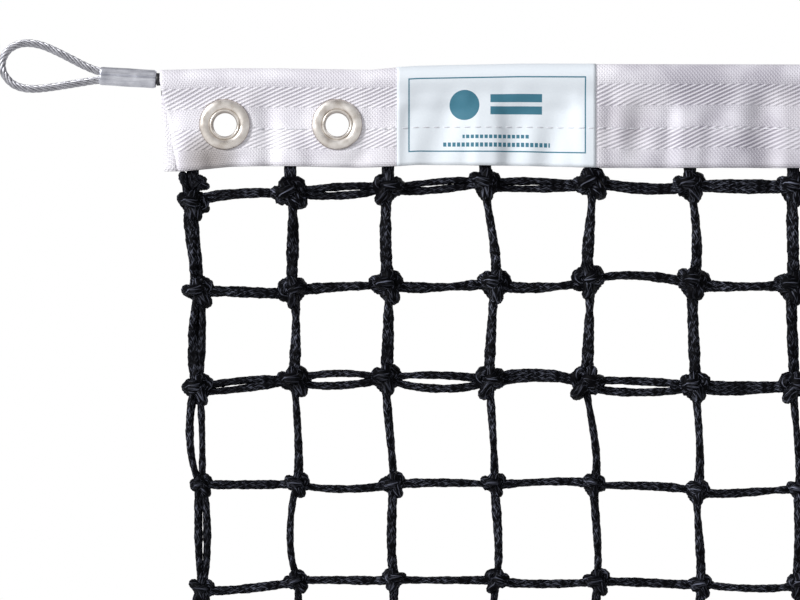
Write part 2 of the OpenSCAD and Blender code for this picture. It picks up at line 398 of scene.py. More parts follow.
def label_finish():
    """Off-white printed cloth: a teal frame line, a plain disc beside two bars, and two rows of ticks,
    all teal."""
    material, tree, shader = finish_of("label_print", (0.85, 0.89, 0.92), 0.6)
    uv, x, z = cloth_place(tree)
    paper, teal = (0.73, 0.78, 0.825), (0.035, 0.165, 0.235)
    grain = noise(tree, uv, 900.0, 2.0)
    color = mixed(tree, spread(tree, grain, 0.3, 0.7, 0.0, 0.5), paper, (0.69, 0.745, 0.795))
    rim = maths(tree, "SUBTRACT", inside_box(tree, x, z, 5.8, 95.0, 6.6, 43.8),
                inside_box(tree, x, z, 6.45, 94.35, 7.25, 43.15))
    color = mixed(tree, rim, color, teal)
    far = maths(tree, "SQRT",
                maths(tree, "ADD", maths(tree, "POWER", maths(tree, "SUBTRACT", x, 34.0 * MM), 2.0),
                                    maths(tree, "POWER", maths(tree, "SUBTRACT", z, 30.0 * MM), 2.0)))
    color = mixed(tree, maths(tree, "LESS_THAN", far, 7.5 * MM), color, teal)
    for left, right, low, high in ((47, 73, 31.2, 35.2), (47, 73, 25.2, 29.2)):
        color = mixed(tree, inside_box(tree, x, z, left, right, low, high), color, teal)
    small_gaps = maths(tree, "GREATER_THAN", maths(tree, "PINGPONG", x, 1.15 * MM), 0.33 * MM)
    for left, right, low, high in ((33, 66.5, 13.4, 15.2), (23, 77, 9.2, 11.3)):
        color = mixed(tree, maths(tree, "MULTIPLY", small_gaps,
                                  inside_box(tree, x, z, left, right, low, high)), color, teal)
    tree.links.new(color, shader.inputs["Base Color"])
    weave = maths(tree, "MULTIPLY", wave(tree, maths(tree, "DIVIDE", x, 0.5 * MM)),
                  wave(tree, maths(tree, "DIVIDE", z, 0.5 * MM)))
    tree.links.new(spread(tree, grain, 0.3, 0.7, 0.5, 0.7), shader.inputs["Roughness"])
    relief(tree, shader, maths(tree, "ADD", weave, grain), 0.06 * MM)
    return material


def thread_finish():
    """White sewing thread, two plies twisted, with painted shade in the grooves between the plies."""
    material, tree, shader = finish_of("thread", (0.85, 0.86, 0.9), 0.6, Sheen_Weight=0.2)
    _, around, along = cloth_place(tree)
    twist = wave(tree, maths(tree, "ADD", maths(tree, "MULTIPLY", around, 2.0),
                             maths(tree, "DIVIDE", along, 1.2 * MM)))
    # Painted shade: the grooves of the twist are darker grey.
    tree.links.new(mixed(tree, twist, (0.62, 0.62, 0.68), (0.90, 0.91, 0.94)), shader.inputs["Base Color"])
    tree.links.new(spread(tree, twist, 0.0, 1.0, 0.75, 0.5), shader.inputs["Roughness"])
    relief(tree, shader, twist, 0.1 * MM)
    return material


def wire_finish():
    """Galvanised strands: the fine wires of each strand wind round it, with painted shade in the grooves
    between their bright tops and a dull grey bloom in random clouds."""
    material, tree, shader = finish_of("wire_rope", (0.5, 0.5, 0.52), 0.35, metallic=0.9)
    _, around, along = cloth_place(tree)
    wires = wave(tree, maths(tree, "ADD", maths(tree, "MULTIPLY", around, 9.0),
                             maths(tree, "DIVIDE", along, 7.0 * MM)))
    bloom = noise(tree, object_place(tree), 420.0, 3.0)
    # Painted shade: the grooves between the fine wires are darker than their tops, and the random bloom
    # darkens as well.
    bright = maths(tree, "MULTIPLY", spread(tree, wires, 0.0, 1.0, 0.7, 1.0),
                   spread(tree, bloom, 0.3, 0.7, 0.6, 1.0))
    tree.links.new(mixed(tree, bright, (0.08, 0.08, 0.095), (0.66, 0.66, 0.70)), shader.inputs["Base Color"])
    tree.links.new(spread(tree, bloom, 0.3, 0.7, 0.38, 0.55), shader.inputs["Roughness"])
    relief(tree, shader, wires, 0.05 * MM)
    return material


def metal_finish(name, dark, light, rough, streak, shaded_stretch=None):
    """Worn plated metal: cloudy colour, and long faint draw marks of the given stretch on x, y and z. A
    stretch of the turned outline, such as a barrel's wall or a rim, may be painted dark brown as shade:
    (from, to) along the map."""
    material, tree, shader = finish_of(name, light, rough, metallic=0.75)
    mapping = tree.nodes.new("ShaderNodeMapping")
    mapping.inputs["Scale"].default_value = streak
    tree.links.new(object_place(tree), mapping.inputs["Vector"])
    marks = noise(tree, mapping.outputs[0], 1.0, 4.0)
    clouds = noise(tree, object_place(tree), 160.0, 3.0)
    blend = maths(tree, "MULTIPLY_ADD", clouds, 0.6, maths(tree, "MULTIPLY", marks, 0.4))
    color = mixed(tree, spread(tree, blend, 0.35, 0.65), dark, light)
    if shaded_stretch:
        _, around, along = cloth_place(tree)
        start, end = shaded_stretch
        inside = maths(tree, "MULTIPLY", spread(tree, along, start - 0.3 * MM, start + 0.3 * MM),
                       spread(tree, along, end - 0.4 * MM, end + 0.3 * MM, 1.0, 0.0))
        # Painted shade: the chosen stretch, such as the eyelet's inner wall or the washer's outer rim, is dark
        # brown.
        color = mixed(tree, inside, color, (0.30, 0.23, 0.18))
    tree.links.new(color, shader.inputs["Base Color"])
    tree.links.new(spread(tree, marks, 0.3, 0.7, rough - 0.1, rough + 0.15), shader.inputs["Roughness"])
    relief(tree, shader, marks, 0.08 * MM)
    return material


def jacket_finish():
    """Black plastic jacket, scuffed along its length."""
    material, tree, shader = finish_of("rope_jacket", (0.02, 0.02, 0.022), 0.45)
    scuffs = noise(tree, object_place(tree), 700.0, 3.0)
    tree.links.new(mixed(tree, spread(tree, scuffs, 0.5, 0.8), (0.012, 0.012, 0.014), (0.06, 0.06, 0.065)),
                   shader.inputs["Base Color"])
    tree.links.new(spread(tree, scuffs, 0.3, 0.7, 0.35, 0.6), shader.inputs["Roughness"])
    relief(tree, shader, scuffs, 0.03 * MM)
    return material


# ---------------------------------------------------------------- mesh helpers

def through(points, count):
    """A smooth line through the points: each span is the Catmull-Rom cubic of its ends and their
    neighbours."""
    points = np.asarray(points, float)
    padded = np.concatenate([2 * points[:1] - points[1:2], points, 2 * points[-1:] - points[-2:-1]])
    at = np.linspace(0, len(points) - 1, count)
    span = np.minimum(at.astype(int), len(points) - 2)
    t = (at - span)[:, None]
    a, b, c, d = (padded[span + k] for k in range(4))
    return 0.5 * (2 * b + (c - a) * t + (2 * a - 5 * b + 4 * c - d) * t**2 + (3 * b - 3 * c + d - a) * t**3)


def skin(points, u, v, wrap=False, loop=False, caps=False):
    """Quads over N grids of points (N, rows, columns, 3), with u and v at each corner. A wrapped grid
    joins its last column to its first and a looped one its last row, so u and v have one more column or
    row. Caps close the two end rows."""
    n, rows, columns = points.shape[:3]
    index = np.arange(n * rows * columns).reshape(n, rows, columns)
    ends = np.concatenate([index[:, 0, ::-1], index[:, -1]])
    if wrap:
        index = np.concatenate([index, index[:, :, :1]], axis=2)
    if loop:
        index = np.concatenate([index, index[:, :1]], axis=1)
    corners = [np.stack([a[:, :-1, :-1], a[:, :-1, 1:], a[:, 1:, 1:], a[:, 1:, :-1]], axis=-1).reshape(-1, 4)
               for a in (index, np.broadcast_to(u, index.shape), np.broadcast_to(v, index.shape))]
    faces = [(corners[0], np.stack(corners[1:], axis=-1))]
    if caps:
        faces.append((ends, np.zeros((*ends.shape, 2))))
    return points.reshape(-1, 3), faces


def tubes(paths, radius, sides, first_side=(0, -1, 0)):
    """Closed tubes on N paths of M points: a ring point is path + r (cos a . side + sin a . up). The
    side vector is carried from ring to ring without turning round the path. r may vary by path, ring
    and side. On the UV map, u is the share of the way round and v the distance along."""
    tangent = np.gradient(paths, axis=1)
    tangent /= np.linalg.norm(tangent, axis=-1, keepdims=True)
    side = np.empty_like(paths)
    carried = np.broadcast_to(np.asarray(first_side, float), paths[:, 0].shape)
    for ring in range(paths.shape[1]):
        carried = carried - (carried * tangent[:, ring]).sum(-1, keepdims=True) * tangent[:, ring]
        carried = carried / np.linalg.norm(carried, axis=-1, keepdims=True)
        side[:, ring] = carried
    up = np.cross(tangent, side)
    angle = 2 * np.pi * np.arange(sides) / sides
    around = np.cos(angle)[:, None] * side[:, :, None] + np.sin(angle)[:, None] * up[:, :, None]
    radius = np.broadcast_to(radius, (*paths.shape[:2], sides))
    points = paths[:, :, None] + radius[..., None] * around
    steps = np.linalg.norm(np.diff(paths, axis=1), axis=-1)
    along = np.concatenate([np.zeros((len(paths), 1)), np.cumsum(steps, axis=1)], axis=1)
    return skin(points, np.arange(sides + 1) / sides, along[..., None], wrap=True, caps=True)


def piece(name, shapes, material, body=None, stands_for=(), smooth=True):
    """One mesh object from several (points, faces) shapes. It rides on the body, unless that is None."""
    offset, points, corners, counts, uvs = 0, [], [], [], []
    for shape_points, faces in shapes:
        points.append(shape_points)
        for face_corners, face_uvs in faces:
            corners.append((face_corners + offset).ravel())
            counts.append(np.full(len(face_corners), face_corners.shape[1]))
            uvs.append(face_uvs.reshape(-1, 2))
        offset += len(shape_points)
    points, corners, counts, uvs = (np.concatenate(a) for a in (points, corners, counts, uvs))
    mesh = bpy.data.meshes.new(name)
    mesh.vertices.add(len(points))
    mesh.vertices.foreach_set("co", points.astype(np.float32).ravel())
    mesh.loops.add(len(corners))
    mesh.loops.foreach_set("vertex_index", corners.astype(np.int32))
    mesh.polygons.add(len(counts))
    mesh.polygons.foreach_set("loop_start", np.concatenate([[0], np.cumsum(counts)[:-1]]).astype(np.int32))
    mesh.update(calc_edges=True)
    mesh.uv_layers.new(name=UV_NAME).data.foreach_set("uv", uvs.astype(np.float32).ravel())
    mesh.polygons.foreach_set("use_smooth", np.full(len(counts), smooth))
    mesh.materials.append(material)
    made = bpy.data.objects.new(name, mesh)
    bpy.context.scene.collection.objects.link(made)
    if body:
        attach(made, body)
    if stands_for:
        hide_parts(*stands_for)
    return made


def eased(t):
    """0 to 1 with level ends: t squared times (3 - 2t), held outside 0 and 1."""
    t = np.clip(t, 0, 1)
    return t * t * (3 - 2 * t)


# ---------------------------------------------------------------- netting

FINE_ROWS, FINE_COLUMNS = 6, 9
LEG_REACH = 9.05 * MM
CORNER_RISE = 3.5 * MM
KNOT_EASE = np.array([
    [(-1.5, -7.5), (-2.5, -1.5), (-3.5, 1.5), (-4.5, 3.5), (-1.0, 3.5), (-1.5, 2.5), (0.5, 1.5)],
    [(1.5, -1.0), (-1.0, -0.5), (-3.5, 2.5), (0.0, 3.0), (-2.0, 5.0), (0.0, 3.5), (0.0, 2.0)],
    [(1.0, 0.5), (-0.5, 4.5), (-4.5, 5.5), (-2.5, 4.5), (-4.0, 3.5), (1.0, 1.5), (0.5, 1.5)],
    [(3.0, 2.0), (1.0, 2.5), (-0.5, 2.5), (0.0, 2.5), (0.0, 2.5), (2.0, -1.0), (3.0, -0.5)],
    [(3.0, -0.5), (1.0, 3.5), (-0.5, 4.5), (1.0, 4.0), (2.0, 3.5), (4.0, 2.0), (3.0, 2.0)]]) * MM
NOSE = [(-5.0, -5.0, 0), (-4.0, -3.7, 0), (-2.6, -2.1, .2), (0, -2.2, .4), (2.6, -2.5, .2), (4.4, -1.5, 0),
        (5, 0, 0),
        (4.4, 1.5, 0), (2.6, 2.5, .2), (0, 2.2, .4), (-2.2, 2.1, .2), (-3.2, 2.9, .1)]
WRAP = [(5.2, 5.2, 0), (4.3, 4.3, .8), (3.0, 2.6, 2.6), (2.2, .8, 1.8), (1.4, -.4, -.8), (.2, -1.8, -4.4),
        (-1, -3.4, -3),
        (-1.9, -4.8, -.8), (-2.4, -4.2, 2), (-2.4, -1.5, 3.6), (-2.4, 1.5, 3.6), (-2.2, 4.4, 1.8),
        (-1.7, 4.7, -1.2),
        (-.9, 3, -3.2), (1, -1.6, -1.6), (2.6, -3.4, -2.6), (4.3, -4.3, -.8), (5.2, -5.2, 0)]


def knot_grid():
    """Middle, turn, size and hand of every knot, row by row: an even mesh, eased by hand-tied
    unevenness."""
    shape = (MESH_ROWS + 1, mesh_columns + 1)
    row, column = np.meshgrid(np.arange(shape[0]), np.arange(shape[1]), indexing="ij")
    ease = rng.normal(0, 1.1, (*shape, 2)) * MM
    ease[MESH_ROWS, :, 1] *= 0.3
    ease[0, -1] = np.array([1.5, -7.5]) * MM
    ease[:KNOT_EASE.shape[0], :KNOT_EASE.shape[1]] = KNOT_EASE
    middles = np.zeros((*shape, 3))
    middles[..., 0] = -half_net + column * mesh_size + ease[..., 0]
    middles[..., 1] = rng.normal(0, 0.3, shape) * MM
    middles[..., 2] = first_row_z - row * mesh_size + ease[..., 1]
    turns = np.radians(rng.uniform(-22, 22, shape))
    sizes = rng.uniform(0.92, 1.08, shape) * np.where(row <= 2, 1.25, 0.93)
    hands = np.where(rng.random(shape) < 0.3, -1.0, 1.0)
    hands[:, [0, -1]] = 1.0
    return middles, turns, sizes, hands


def turned(vectors, turns):
    """Vectors turned in the net's plane, from x towards z."""
    c, s = np.cos(turns), np.sin(turns)
    x, y, z = vectors[..., 0], vectors[..., 1], vectors[..., 2]
    return np.stack([x * c - z * s, y + 0 * c, x * s + z * c], axis=-1)


def strand_outline(count, rings, sides, half_gap, strand, twist, start, ripple=0.0):
    """Outline of two round strands laid side by side: at angle a it is g |cos a| + sqrt(s^2 - g^2 sin^2
    a), for strands of radius s whose middles are 2g apart. It turns along the run, and plaits and slow
    lumps ripple it."""
    share = np.linspace(0, 1, rings)[None, :, None]
    angle = 2 * np.pi * np.arange(sides)[None, None] / sides - start[:, None, None] - twist[:, None,
                                                                                            None] * share
    outline = half_gap * np.abs(np.cos(angle)) + np.sqrt(strand**2 - (half_gap * np.sin(angle))**2)
    lumps = sum(np.sin(2 * np.pi * (k * share + rng.random((count, 1, 1)))) for k in (2.3, 4.1, 6.7))
    outline = outline * (1 + 0.8 * ripple * lumps)
    return outline * (1 + ripple
                      * np.sin(3 * angle + 2 * np.pi * rings * share / 2.7)) + np.zeros((count, 1, 1))


def knots(middles, turns, sizes, hands, fine, nose=None, wrap=None):
    """Sheet bends: a nose bent back on itself, and a twine that comes up through it, round behind and
    under itself. Both routes are in the knot's own diagonal axes, p to its upper right and q to its
    lower right."""
    shapes = []
    for route, fine_rings, plain_rings in ((nose or NOSE, 44, 7), (wrap or WRAP, 84, 13)):
        p, q, back = (through(route, fine_rings if fine else plain_rings) * MM).T
        path = np.stack([(p + q) / math.sqrt(2), back, (p - q) / math.sqrt(2)], axis=-1)
        paths = 0.88 * path * sizes[:, None, None]
        paths[..., 0] *= hands[:, None]
        paths = middles[:, None] + turned(paths, turns[:, None])
        share = np.linspace(0, 1, len(p))
        taper = (0.55 + 0.45 * eased(np.minimum(share, 1 - share) / 0.14))[None, :, None] * sizes[:, None,
                                                                                                  None] * MM
        if fine:
            start = rng.uniform(0, 2 * np.pi, len(middles))
            twist = rng.uniform(2, 5, len(middles))
            outline = strand_outline(len(middles), fine_rings, 14, 0.95, 2.35, twist, start, 0.06)
            shapes.append(tubes(paths, outline * taper, 14))
        else:
            shapes.append(tubes(paths, 2.75 * taper, 4))
    return shapes


def runs(starts, ends, start_ways, end_ways, rings, bow):
    """Hermite curves from starts to ends, leaving and arriving the given ways, bowed by 4t(1 - t) times
    bow."""
    length = 0.6 * np.linalg.norm(ends - starts, axis=-1, keepdims=True)[:, None]
    t = np.linspace(0, 1, rings)[None, :, None]
    return ((2 * t**3 - 3 * t**2 + 1) * starts[:, None] + (t**3 - 2 * t**2 + t) * length * start_ways[:, None]
            + (3 * t**2 - 2 * t**3) * ends[:, None] + (t**3 - t**2) * length * end_ways[:, None]
            + 4 * t * (1 - t) * bow[:, None])


def twine_runs(starts, ends, start_ways, end_ways, bow, fine, half_gap, strand):
    """Twines between knots. Those near the upper left are fine, with plaits; the others keep only the
    outline."""
    shapes = []
    for chosen, rings, sides, ripple in ((fine, 40, 16, 0.045), (~fine, 5, 5, 0.0)):
        if not chosen.any():
            continue
        count = int(chosen.sum())
        paths = runs(starts[chosen], ends[chosen], start_ways[chosen], end_ways[chosen], rings, bow[chosen])
        start, twist = rng.uniform(0, 2 * np.pi, count), rng.uniform(-4, 4, count)
        if ripple:
            radius = strand_outline(count, rings, sides, half_gap, strand, twist, start, ripple) * MM
        else:
            radius = (strand + 0.6 * half_gap) * MM
        shapes.append(tubes(paths, radius, sides))
    return shapes


def across(row, strands):
    """The twines of one mesh row, knot to knot. strands gives each strand's (height, half gap, radius)
    in mm."""
    middles, turns, sizes = grid_middles[row], grid_turns[row], grid_sizes[row]
    way = np.array([1.0, 0, 0])
    ways = turned(np.broadcast_to(way, middles.shape), 0.5 * turns)
    inset = (0.35 * LEG_REACH * sizes)[:, None] * ways
    fine = (np.arange(mesh_columns) < FINE_COLUMNS) & (row < FINE_ROWS)
    shapes = []
    sway = rng.normal(0, 0.9, (mesh_columns, 3)) * MM * (0, 0.5, 1)
    if row == 0:
        sway[0, 2] = 3.0 * MM
    apart = rng.uniform(0.5, 1.35, (mesh_columns, 1))
    leaving, arriving = rng.uniform(0.1, 0.9, (mesh_columns, 1)), rng.uniform(0.1, 0.5, (mesh_columns, 1))
    starts, ends = middles[:-1] + inset[:-1], middles[1:] - inset[1:]
    if row == 0:
        starts[0, 2] += CORNER_RISE
        ends[-1, 2] += CORNER_RISE
    for height, half_gap, strand in strands:
        lift = np.array([0, 0, height * MM])
        bow = sway + (apart - 0.5 * (leaving + arriving)) * lift
        shapes += twine_runs(starts + leaving * lift, ends + arriving * lift, ways[:-1], ways[1:], bow,
                             fine, half_gap, strand)
    return shapes


def row_knots(row):
    """A row's knots. The outermost have no leg towards the outside."""
    column = np.arange(mesh_columns + 1)
    fine = (column < FINE_COLUMNS) & (row < FINE_ROWS)
    inner = (column > 0) & (column < mesh_columns)
    data = grid_middles[row], grid_turns[row], grid_sizes[row], grid_hands[row]
    shapes = []
    for chosen, is_fine, legs in ((fine & inner, True, {}), (~fine & inner, False, {}),
                                  (column == 0, row < FINE_ROWS, {"nose": NOSE[2:]}),
                                  (column == mesh_columns, False, {"wrap": WRAP[2:]})):
        if chosen.any():
            shapes += knots(*(d[chosen] for d in data), is_fine, **legs)
    return shapes


def down(row, columns, half_gap, strand, aside=0.0):
    """The twines from one mesh row down to the next. They start at the middle of the upper knot, on its
    hinge."""
    above, below = grid_middles[row, columns], grid_middles[row + 1, columns]
    way = np.array([0, 0, -1.0])
    start_ways = turned(np.broadcast_to(way, above.shape), 0.5 * grid_turns[row, columns])
    end_ways = turned(np.broadcast_to(way, above.shape), 0.5 * grid_turns[row + 1, columns])
    reach = 0.55 if (row + 1) % PANEL_ROWS == 0 else 0.35
    ends = below - (reach * LEG_REACH * grid_sizes[row + 1, columns])[:, None] * end_ways
    aside = np.broadcast_to(aside, columns.shape)[:, None] * np.array([MM, 0, 0])
    bow = rng.normal(0, 0.8, above.shape) * MM * (1, 0.5, 0) + aside
    fine = (columns < FINE_COLUMNS) & (row < FINE_ROWS)
    return twine_runs(above + 0.6 * aside, ends + 0.6 * aside, start_ways, end_ways, bow, fine, half_gap,
                      strand)


def make_netting(twine):
    """Row by row: the top row hangs from the headband, and each panel of rows folds with its own body."""
    columns = np.arange(mesh_columns + 1)
    outwards = np.where(columns == 0, -1.8, np.where(columns == mesh_columns, 1.8, 0.0))
    top = across(0, [(1.7, 0.4, 1.65), (-1.7, 0.4, 1.65)]) + row_knots(0) + stubs()
    piece("top_row_netting", top, twine, "headband",
          ("stub_twines", "top_row_upper_twine", "top_row_lower_twine"))
    for panel in range(1, MESH_ROWS // PANEL_ROWS + 1):
        body = f"net_{panel}"
        first = (panel - 1) * PANEL_ROWS
        uprights, selvages = [], []
        for row in range(first, first + PANEL_ROWS):
            gap, strand = (1.2, 1.95) if row < 2 else (0.65, 1.75)
            uprights += down(row, columns, gap, strand, outwards)
            for column, aside in ((0, 1), (mesh_columns, -1)):
                selvages += down(row, np.array([column]), 0.4, 1.6, aside * 0.7)
            below = row + 1
            if below == 2:
                strands = [(2.7, 0.5, 1.65), (-2.3, 0.5, 1.65)]
            else:
                strands = [(0.0, 0.95, 1.95)] if below == 1 else [(0.0, 0.55, 1.75)]
            stands_for = [f"row_twine_{below}"]
            stands_for += ["second_row_double"] if below == 2 else []
            stands_for += ["foot_twine"] if below == MESH_ROWS else []
            piece(f"mesh_row_{below}", across(below, strands) + row_knots(below), twine, body, stands_for)
        piece(f"upright_twines_{panel}", uprights, twine, body, (f"drop_twines_{panel}",))
        piece(f"selvage_twines_{panel}", selvages, twine, body, (f"side_selvages_{panel}",))


def stubs():
    """Two twines side by side from each top knot up between the plies to the head twine, and the tied
    upper corners."""
    top = grid_middles[0]
    ends = top.copy()
    ends[:, 2] = head_twine_z
    fine = np.arange(mesh_columns + 1) < FINE_COLUMNS
    up = np.broadcast_to([0, 0, 1.0], top.shape)
    bow = ridges(top[:, :1]) * np.array([0, 1, 0])
    shapes = []
    for side in (LEFT, RIGHT):
        shift = np.array([1.35 * side * MM, 0, 0])
        shapes += twine_runs(top + shift, ends + shift, up, up, bow, fine, 0.35, 1.55)
    for column, side in ((0, LEFT), (mesh_columns, RIGHT)):
        corner = grid_middles[0, column]
        over = corner + np.array([-3.3 * side, 0.3, 11.0]) * MM
        shapes += knots(over[None], np.array([0.8]), np.array([0.66]), np.array([1.0]), True)
        outer = corner + np.array([[5.4 * side, 0.2, 18.5], [4.9 * side, 0, 14], [3.0 * side, -0.8, 8],
                                   [1.4 * side, -1, 2]]) * MM
        slim = 0.3 + 0.7 * eased(np.linspace(0, 1, 30) / 0.25)
        outline = strand_outline(1, 30, 14, 0.6, 1.9, np.array([3.0]), np.array([1.5]), 0.05)
        shapes.append(tubes(through(outer, 30)[None], outline * slim[None, :, None] * MM, 14))
    return shapes


# ---------------------------------------------------------------- headband, label and seam

PLY = 0.85 * MM
LABEL_CLOTH = 0.25 * MM
fold_r = band_top - cable_z - PLY / 2
ply_height = cable_z - band_bottom
fold_length = 2 * ply_height + math.pi * fold_r
flat_gap = washer_back - PLY / 2 - 0.05 * MM
grommet_middles = np.array([middle(name + "_washer") for name in ("left_outer", "left_inner", "right_inner",
                                                                  "right_outer")])
RIDGE_START, RIDGE_PITCH, RIDGE_DEPTH = 241 * MM, 63 * MM, 1.45 * MM
EDGE_AT = np.array([0, 12, 35, 60, 100, 106, 118, 130, 181, 225, 320, 420]) * MM
TOP_WAVE = np.array([-1.0, -0.7, -0.1, -0.2, -0.8, -0.9, 0.2, 0.9, 2.0, 2.0, 1.8, 0]) * MM
LOW_WAVE = np.array([-2.0, -2.0, 0.3, 0.7, -0.2, 0, 0.6, 1.3, 0.8, -0.3, -0.3, 0]) * MM


def wavy(x, table):
    """Height of an edge: a listed wave near the left end, and an even swell along the rest."""
    from_end = x + band_half
    swell = 0.6 * MM * np.sin(x / (61 * MM)) + 0.35 * MM * np.sin(x / (23 * MM) + 1)
    return np.interp(from_end, EDGE_AT, table) + swell * eased((from_end - 0.42) / 0.1)


def ridges(x):
    """Depth of the band's standing ridges: each swells slowly towards the right and falls away sharply,
    from the sum of sin(n a) / n for n from 1 to 4, and they grow away from the ends. Past 0.45 m from
    the left end they are round, with n = 1 alone."""
    angle = 2 * np.pi * (x + band_half - RIDGE_START) / RIDGE_PITCH + 0.5 * np.sin(x / (170 * MM))
    sharp_part = 1 - eased((x + band_half - 0.40) / 0.05)
    saw = np.sin(angle) + sharp_part * sum(np.sin(n * angle) / n for n in (2, 3, 4))
    grown = eased((x + band_half - 0.17) / 0.1)
    return RIDGE_DEPTH * saw * (0.45 + 0.55 * grown) * (0.8 + 0.3 * np.sin(x / (90 * MM) + 2))


def band_at(x, v, out=0.0):
    """A point of the folded webbing. v runs from the front lower edge up, over the cable and down the
    back, and out is the distance outwards from the middle of the cloth. The plies part for the stub
    twines and lie closer between."""
    over = np.clip((v - ply_height) / fold_r, 0, math.pi)
    side = np.where(v < fold_length / 2, FRONT, BACK)
    drop = np.maximum(np.where(side == FRONT, ply_height - v, v - ply_height - math.pi * fold_r), 0)
    slant = np.where(side == FRONT, 9 * MM, 2 * MM) * np.clip(drop / ply_height, 0, 1) * np.where(x < 0, 1,
                                                                                                  0.4)
    x = x - np.sign(x) * slant * (1 - eased((band_half - np.abs(x)) / (55 * MM)))
    nearest = np.clip(np.round((x + half_net) / mesh_size), 0, mesh_columns).astype(int)
    column_x = grid_middles[0, nearest, 0]
    from_column = np.abs(x - column_x)
    z = cable_z - drop + fold_r * np.sin(over)
    far = np.sqrt((x[..., None] - grommet_middles[:, 0])**2
                  + (z[..., None] - grommet_middles[:, 2])**2).min(-1)
    free = eased((far - 12.5 * MM) / (9 * MM))
    between = eased((from_column - 3.5 * MM) / (8 * MM))
    close = 2.0 * MM * between * free * eased((drop - 10 * MM) / (8 * MM))
    gap = fold_r + (flat_gap - fold_r) * eased(drop / (11 * MM)) - close
    puckers = (0.55 * np.sin(x / (5.3 * MM) + 1.4 * np.sin(x / (31 * MM))) + 0.4
               * np.sin(x / (3.1 * MM) + drop / (9 * MM))) * MM
    hung = np.clip((z - first_row_z) / (head_twine_z - first_row_z), 0, 1)
    y = np.where(drop > 0, side * gap,
                 -fold_r * np.cos(over)) + puckers * free * between * eased(drop / (14 * MM))
    ridge = between * ridges(x) + (1 - between) * ridges(column_x)
    y = y + ridge * free * 4 * hung * (1 - hung)
    up = (z - band_bottom) / (band_top - band_bottom)
    z = z + wavy(x, LOW_WAVE) * (1 - up) + wavy(x, TOP_WAVE) * up
    normal_y, normal_z = np.where(drop > 0, side, -np.cos(over)), np.where(drop > 0, 0, np.sin(over))
    return np.stack([x, y + out * normal_y, z + out * normal_z], axis=-1)


def cloth_grid(x, v, out):
    """A strip of the webbing's surface over the given x and v stations, with x and v on its UV map."""
    columns, rows = np.meshgrid(x, v)
    return skin(band_at(columns, rows, out)[None], columns[None], rows[None])


def without_holes(shape):
    """The shape less the quads behind the grommets' flanges, and less the points that only those used."""
    points, [(quads, uvs)] = shape
    centre = points[quads].mean(axis=1)
    far = np.hypot(centre[:, None, 0] - grommet_middles[:, 0],
                   centre[:, None, 2] - grommet_middles[:, 2]).min(-1)
    kept = far > 8.5 * MM
    used, again = np.unique(quads[kept], return_inverse=True)
    return points[used], [(again.reshape(-1, 4), uvs[kept])]


def make_headband(webbing, label_print, thread):
    near = 0.33
    fine = np.arange(0, near, 2 * MM)
    columns, level = grid_middles[0, :, 0], 3.4 * MM
    coarse = np.concatenate([columns - level, columns + level, (columns[1:] + columns[:-1]) / 2])
    coarse = coarse[np.abs(coarse) < band_half - near]
    x = np.unique(np.round(np.concatenate([-band_half + fine, band_half - fine, coarse]), 6))
    v = np.concatenate([np.linspace(0, ply_height, 17)[:-1],
                        ply_height + np.linspace(0, math.pi * fold_r, 9)[:-1],
                        ply_height + math.pi * fold_r + np.linspace(0, ply_height, 17)])
    band = piece("headband_webbing", [without_holes(cloth_grid(x, v, 0.0))], webbing, "headband",
                 ("headband",))
    thicken(band, PLY)
    x = np.linspace(label_left, label_right, 60)
    out = (PLY + LABEL_CLOTH) / 2 + 0.02 * MM
    label = piece("label_cloth", [cloth_grid(x, np.linspace(0, fold_length, 56), out)], label_print,
                  "headband", ("label",))
    shift_label_map(label)
    thicken(label, LABEL_CLOTH)
    for side, name in ((FRONT, "front"), (BACK, "back")):
        piece(f"{name}_seam_stitches", [stitches(side)], thread, "headband", (f"{name}_seam_thread",))


def shift_label_map(label):
    """Sets the label's map so that x is counted from its own left side."""
    layer = label.data.uv_layers[UV_NAME].data
    uv = np.zeros(2 * len(layer), np.float32)
    layer.foreach_get("uv", uv)
    uv[::2] -= label_left
    layer.foreach_set("uv", uv)


def thicken(cloth, thickness):
    """Gives a sheet its thickness, half to each side."""
    solidify = cloth.modifiers.new("thickness", "SOLIDIFY")
    solidify.thickness, solidify.offset = thickness, 0


def stitches(side):
    """A row of lockstitches: each is a short arch of thread that dips into the cloth at both ends."""
    pitch, half = 5.2 * MM, 1.9 * MM
    x = np.arange(-band_half + 14 * MM, band_half - 14 * MM, pitch)
    x = x[np.abs(x[:, None] - grommet_middles[:, 0]).min(-1) > 15 * MM]
    v = seam_z - band_bottom if side == FRONT else fold_length - (seam_z - band_bottom)
    arch = np.array([-0.35, 0.12, 0.2, 0.12, -0.35]) * MM
    on_label = (x > label_left) & (x < label_right)
    out = PLY / 2 + arch[None] + np.where(on_label, LABEL_CLOTH + 0.05 * MM, 0)[:, None]
    at = x[:, None] + np.linspace(-half, half, 5)[None]
    flat = band_at(at.ravel(), np.full(at.size, v), out.ravel()).reshape(*at.shape, 3)
    return tubes(flat, thread_r, 4, first_side=(0, 0, 1))


# ---------------------------------------------------------------- wire-rope eyes, ferrules and grommets

EYE_ROUTE = [(36.5, 6.6), (44, 10.4), (51.2, 14), (58.4, 17), (65, 18.2), (70.6, 17.5), (75.2, 14.9),
             (77.9, 10.9), (78.6, 6.4),
             (77.1, 2), (73.5, -2), (68.6, -4.2), (62.6, -4.8), (55.4, -4.2), (47.2, -3), (38.6, -1.6)]
FERRULE_TILT = math.radians(3.5)
FERRULE_START, FERRULE_END = 1.0, 29.5
LEG_RISE = 2.15


def on_end(side, outwards, forwards, upwards):
    """Points from one end's hinge: x outwards along the net, y and z as in the frame, given in
    millimetres."""
    return np.stack([side * (hinge_x + outwards * MM), forwards * MM, cable_z + upwards * MM], axis=-1)


def along_ferrule(u, rise):
    """A point on the ferrule's tilted axis, or beside it by rise: (outwards, upwards)."""
    c, s = math.cos(FERRULE_TILT), math.sin(FERRULE_TILT)
    return u * c - rise * s, u * s + rise * c


